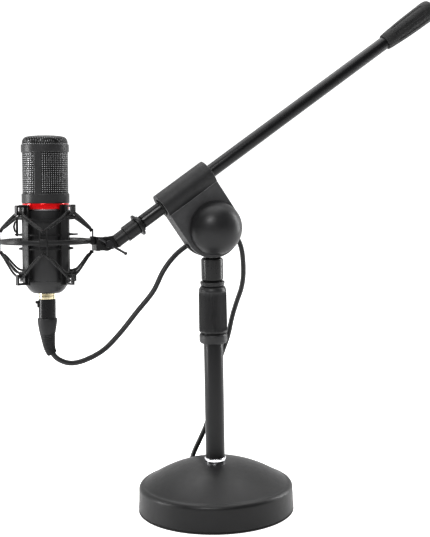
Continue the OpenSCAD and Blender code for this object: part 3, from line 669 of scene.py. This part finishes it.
finish_piece(new_object("shock_ring_look", bm, 40), "ring_mount", M_PLASTIC, ["shock_ring"])
bm = bmesh.new()
for a in range(0, 360, 90):
    A = MIC @ Rz(a + TURN)
    for y0, y1 in ((-4.5, -3.3), (3.3, 4.5)):
        box_bm(bm, A, 52.3, y0, -13.9, 53.7, y1, 13.9, 0.25)
    for z0, z1 in ((12.7, 14), (-14, -12.7)):
        box_bm(bm, A, 52.25, -4.4, z0, 53.65, 4.4, z1, 0.3)
    box_bm(bm, A, 52.0, -4.4, -4.2, 53.65, 4.4, 4.2, 0.4)
finish_piece(new_object("ring_clips_look", bm, 40), "ring_mount", M_PLASTIC, ["ring_clips"])


def pol(r, a, z):
    return Vector((r * cos(rad(a)), r * sin(rad(a)), z))


# each loop of elastic runs from a bar of the ring's clip, round one bar of a cradle eye, and back
first = True
for qa in range(4):
    for up in (1, -1):
        for sd in (1, -1):
            c = 90 * qa + TURN
            h = c + sd * 45
            zb = 31.5 if up > 0 else -37.3
            H = Rz(h)

            def hp(r, t, z):
                return H @ Vector((r, -sd * t, z))

            line = [pol(51.7, c + sd * 0.9, up * 11.3), pol(51.3, c + sd * 1.5, up * 12.9), pol(50.7, c + sd * 2.6, up * 14.6),
                    pol(48.6, c + sd * 6.6, up * 17.4),
                    hp(40.2, 10, zb - up * 2.0), hp(38.8, 4.4, zb + up * 1.6), hp(38.2, 1.0, zb + up * 2.3),
                    hp(37.9, -2.0, zb + up * 2.0), hp(37.7, -3.1, zb), hp(37.7, -2.0, zb - up * 2.1), hp(38.0, 1.6, zb - up * 2.7),
                    hp(39.4, 8, zb - up * 4.8), pol(47.4, c + sd * 7.4, up * 16.0),
                    pol(50.0, c + sd * 2.0, up * 13.6), pol(50.6, c + sd * 0.9, up * 11.9), pol(51.2, c + sd * 0.4, up * 11.0)]
            line = spline([MIC @ (q * MM) for q in line], 0.0018)
            bm = bmesh.new()
            tube_bm(bm, line, 1.15 * MM, 10)
            o = new_object("elastic_%d_%s_%s" % (qa, "top" if up > 0 else "low", "a" if sd > 0 else "b"), bm, 60)
            o.data.materials.append(M_ELASTIC)
            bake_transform(o)
            if first:
                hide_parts("elastic_cords")
                first = False

cad_copy("cradle_frame", M_PLASTIC, bevel=0.45, seg=2, angle=30)
cad_copy("cradle_pads", M_FOAM, bevel=0.4, seg=2)
cad_copy("squeeze_loop", M_WIRE, bevel=0)

# ------------------------------------------------------------------ microphone
lathe("mic_body_look", [(24.2, -44.2), (25.4, -44.2, 0.3), (25.6, -43.6), (25.6, 35.1, 0.2), (25.3, 35.5), (24.2, 35.5)], MIC, "cradle", M_MIC, ["mic_body"], seg=160)
lathe("trim_ring_look", [(24.2, 35.5), (26.1, 35.5, 0.3), (26.2, 36, 0.3), (26.2, 36.6, 0.3), (26.0, 36.9), (24.2, 36.9)], MIC, "cradle", M_TRIM, ["trim_ring"], seg=160)
lathe("red_ring_look", [(22, 36.9), (26.2, 36.9, 0.2), (26.6, 37.6, 0.6), (26.6, 42.8, 0.5), (26.3, 43.5), (22, 43.5)], MIC, "cradle", M_RED, ["red_ring"], seg=160)
bm = bmesh.new()
lathe_bm(bm, round_profile([(26.1, 43.5), (26.7, 43.5, 0.2), (27.1, 44.2, 0.4), (27.1, 53.7, 0.6), (26.7, 54.5, 0.3), (26.1, 54.5)]), MIC, 160, True)
lathe_bm(bm, round_profile([(26.1, 101.2), (26.7, 101.2, 0.3), (27.1, 101.9, 0.5), (27.1, 109.5, 0.6), (26.6, 110.3, 0.4), (26.1, 110.3)]), MIC, 160, True)
for a0 in (62, 242):
    cols = []
    for k in range(-9, 10):
        ph = rad(a0 + k * 9.5 / 9)
        e = 0.25 if abs(k) == 9 else 0.0
        cols.append([(26.15, ph), (26.9 - e, ph)])
    ring = [(r, p) for r, p in [c[1] for c in cols]] + [(r, p) for r, p in [c[0] for c in reversed(cols)]]
    lo = [bm.verts.new(MIC @ Vector((r * cos(p) * MM, r * sin(p) * MM, 53.7 * MM))) for r, p in ring]
    hi = [bm.verts.new(MIC @ Vector((r * cos(p) * MM, r * sin(p) * MM, 101.9 * MM))) for r, p in ring]
    n = len(ring)
    for k in range(n):
        bm.faces.new((lo[k], lo[(k + 1) % n], hi[(k + 1) % n], hi[k]))
    bm.faces.new(list(reversed(lo))); bm.faces.new(hi)
finish_piece(new_object("head_frame_look", bm, 30), "cradle", M_MIC, ["head_frame"])
# painted light: the basket's gaps are light grey, standing in for light seen through the weave
M_MESH_GAP_LIGHT = mesh_material("grille_mesh", 66, 2.35, 0.6, (0.02, 0.02, 0.02), 0.4, 0.6, gap_light=(0.42, 0.42, 0.43))
M_MESH2 = mesh_material("grille_mesh_fine", 200, 0.8, 0.26, (0.012, 0.012, 0.012), 0.5, 0.3)
# painted light: the dome's gaps are mid grey, standing in for glints of light seen through the weave
M_DOME_GAP_LIGHT = mesh_material("grille_dome_gap_light", 1 / 0.0024, 0.0024, 0.62, (0.02, 0.02, 0.02), 0.42, 0.6, flat=True, gap_light=(0.2, 0.2, 0.205))
bm = bmesh.new()
lathe_bm(bm, [(25.9, 43.7), (25.9, 60), (25.9, 80), (25.9, 100), (25.9, 111.2), (25.85, 112.6)], MIC, 160, False)
o = finish_piece(new_object("grille_basket_look", bm, 60), "cradle", M_MESH_GAP_LIGHT, ["grille_basket"])
bm = bmesh.new()
lathe_bm(bm, [(25.85, 112.6), (25.5, 114.3), (24.9, 115.9), (23.9, 117.4), (22.4, 118.4), (20.4, 119.1), (16.5, 119.7), (12, 120.1), (6, 120.3), (0.5, 120.4), (0, 120.4)], MIC, 160, False)
finish_piece(new_object("grille_dome_look", bm, 60), "cradle", M_DOME_GAP_LIGHT)
bm = bmesh.new()
lathe_bm(bm, [(25.3, 46.1), (25.3, 80), (25.3, 111.2), (25.1, 112.8), (24.6, 114.4), (23.8, 115.9), (22.8, 116.9), (21, 117.8), (18.4, 118.5), (13, 119.1), (8, 119.4), (0.5, 119.6), (0, 119.6)], MIC, 128, False)
finish_piece(new_object("grille_lining", bm, 60), "cradle", M_MESH2)
CP = MIC @ T(0, 0, 76.5) @ Rz(TURN) @ Rx(90)
lathe("capsule_look", [(0, -4), (7.6, -4), (8.2, -3.7, 0.2), (9.5, -3.4, 0.5), (9.5, 3.4, 0.5), (8.2, 3.7, 0.2), (7.6, 4), (0, 4)], CP, "cradle", M_GOLD, ["capsule"], seg=96)
cad_copy("capsule_post", M_INNER, bevel=0)
cad_copy("circuit_board", M_BOARD, bevel=0)
lathe("bottom_cup_look", [(9.4, -59), (13.6, -59), (15.4, -58.8, 1.0), (17.4, -57.7), (19.6, -55.6), (21.6, -53.2), (23.2, -50.6), (24.5, -48, 1), (25.1, -45.8), (25.4, -44.5, 0.3), (25.2, -44.2), (23, -44.2), (20, -49), (16, -53), (9.4, -53)],
      MIC, "cradle", M_MIC, ["bottom_cup"], seg=160)
lathe("mic_connector_look", [(8.15, -66), (9.2, -66, 0.3), (9.4, -65.2, 0.3), (9.4, -62.6), (9.0, -62.2), (9.0, -61.4), (9.4, -61.0), (9.4, -50), (0, -50), (0, -54), (8.15, -54)],
      MIC, "cradle", M_GOLD, ["mic_connector"], seg=96)
cad_copy("connector_pins", M_GOLD, bevel=0)
cad_copy("plug_insert", M_INNER, bevel=0)
cad_copy("plug_shell", M_PLUG, bevel=0.35, seg=3, angle=30)
cad_copy("plug_latch", M_PLUG, bevel=0.5, seg=3)
# strain relief: a grip collar, then ribs round a line that bends towards the stand
bm = bmesh.new()
line, radii = [], []
for zz, r in [(-88, 0.01), (-88, 10.6), (-88.5, 11.05), (-90, 11.18), (-92, 11.08), (-94, 10.85), (-97, 10.45), (-100, 10), (-103, 9.45), (-105, 9.1)]:
    line.append(Vector((0, 0, zz))); radii.append(r)
p = Vector((0.0, 0, -105.4)); s = 0.0; total_s = 24.4
while s < total_s:
    t = s / total_s
    ang = rad(6 + 22 * smoothstep(0.45, 1.0, t))
    base_r = 8.85 - 3.1 * t
    k = (s % 2.1) / 2.1
    groove = 0.75 if (0.62 < k < 0.98 and 1.5 < s < total_s - 1.6) else 0.0
    line.append(p.copy()); radii.append(base_r - groove)
    p += Vector((sin(ang), 0, -cos(ang))) * 0.21
    s += 0.21
line.append(p.copy()); radii.append(5.4)
line.append(p + Vector((sin(rad(28)), 0, -cos(rad(28)))) * 0.15); radii.append(5.1)
line.append(p + Vector((sin(rad(28)), 0, -cos(rad(28)))) * 0.16); radii.append(0.01)
tube_bm(bm, [MIC @ (q * MM) for q in line], [r * MM for r in radii], 64, caps=True)
finish_piece(new_object("plug_boot_look", bm, 40), "cradle", M_BOOT, ["plug_boot"])
EP = T(52, 101, 17.3) @ Ry(-90)
lathe("end_boot_look", [(0, 0), (3.5, 0, 0.3), (3.7, 1), (3.4, 1.6), (3.9, 2.6), (3.6, 3.2), (4.2, 4.4), (3.9, 5), (4.5, 6.4), (4.2, 7), (4.8, 8.6), (4.5, 9.2), (5.0, 10.8), (5, 12), (0, 12)], EP, "stand", M_BOOT, ["end_boot"], seg=64)
lathe("end_barrel_look", [(0, 12), (5, 12), (5.25, 12.4, 0.3), (5.25, 16), (5.05, 16.2), (5.05, 16.8), (5.25, 17), (5.25, 33.2, 0.5), (4.6, 34), (0, 34)], EP, "stand", M_PLUG, ["end_barrel"], seg=64)
lathe("end_pin_look", [(0, 34), (1.75, 34), (1.75, 38.0), (1.6, 38.1), (1.6, 38.9), (1.75, 39.0), (1.75, 42.2), (1.6, 42.3), (1.6, 43.1), (1.75, 43.2), (1.75, 44.5), (1.2, 45.3), (1.7, 46.4), (0.6, 48.5), (0, 48.5)], EP, "stand", M_GOLD, ["end_pin"], seg=48)
cad_copy("lead_tie", M_TIE, bevel=0.2)
for n, m, s in [("foot_stud", M_ZINC, "zinc_steel"), ("base_washer", M_ZINC, "zinc_steel"), ("base_nut", M_ZINC, "zinc_steel"),
                ("riser_bush", M_NYLON, "nylon_natural"), ("friction_washers", M_FIBRE, "friction_fibre"), ("knob_insert", M_BRASS, "brass_insert")]:
    cad_copy(n, m, bevel=0.2 if n == "base_nut" else 0)

# ------------------------------------------------------------------ floor and light
fl = bpy.data.materials.new("floor")
fl.use_nodes = True
fb = fl.node_tree.nodes["Principled BSDF"]
fb.inputs["Base Color"].default_value = (0.6, 0.6, 0.6, 1)
fb.inputs["Emission Color"].default_value = (1, 1, 1, 1)
fb.inputs["Emission Strength"].default_value = 0.75
fb.inputs["Roughness"].default_value = 0.8
fb.inputs["Specular IOR Level"].default_value = 0.0
bm = bmesh.new()
bmesh.ops.create_grid(bm, x_segments=1, y_segments=1, size=12)
me = bpy.data.meshes.new("floor")
bm.to_mesh(me); bm.free()
floor = bpy.data.objects.new("floor", me)
floor.location = (0, 0, -0.0003)
floor.data.materials.append(fl)
S.collection.objects.link(floor)

world = bpy.data.worlds.new("studio")
world.use_nodes = True
wn = world.node_tree
bg = wn.nodes["Background"]
tc = wn.nodes.new("ShaderNodeTexCoord")
dp = wn.nodes.new("ShaderNodeVectorMath"); dp.operation = "DOT_PRODUCT"
dp.inputs[1].default_value = (0.342, 0.940, 0.0)
wn.links.new(tc.outputs["Generated"], dp.inputs[0])
mr = wn.nodes.new("ShaderNodeMapRange")
mr.interpolation_type = "SMOOTHSTEP"
mr.inputs["From Min"].default_value, mr.inputs["From Max"].default_value = -0.25, 0.55
mr.inputs["To Min"].default_value, mr.inputs["To Max"].default_value = 0.2, 1.2
wn.links.new(dp.outputs["Value"], mr.inputs["Value"])
wn.links.new(mr.outputs["Result"], bg.inputs["Strength"])
bg.inputs["Color"].default_value = (1, 1, 1, 1)
S.world = world


def area(name, loc, target, size, power, size_y=None):
    d = bpy.data.lights.new(name, "AREA")
    d.energy = power
    d.shape = "RECTANGLE"
    d.size, d.size_y = size, size_y or size
    o = bpy.data.objects.new(name, d)
    o.location = loc
    o.rotation_euler = (Vector(target) - Vector(loc)).to_track_quat("-Z", "Y").to_euler()
    S.collection.objects.link(o)
    return o


area("key", (-1.05, -1.55, 1.75), (-0.02, 0, 0.3), 0.7, 30)
area("left_strip", (-1.7, 0.45, 0.55), (-0.05, 0, 0.33), 0.35, 26, 1.5)
area("right_strip", (1.65, 0.1, 0.6), (0, 0, 0.33), 0.35, 20, 1.5)
area("top", (0.1, 0.5, 2.4), (0, 0.4, 0.0), 2.6, 60)
S.view_settings.view_transform = "Standard"
S.view_settings.gamma = 0.74
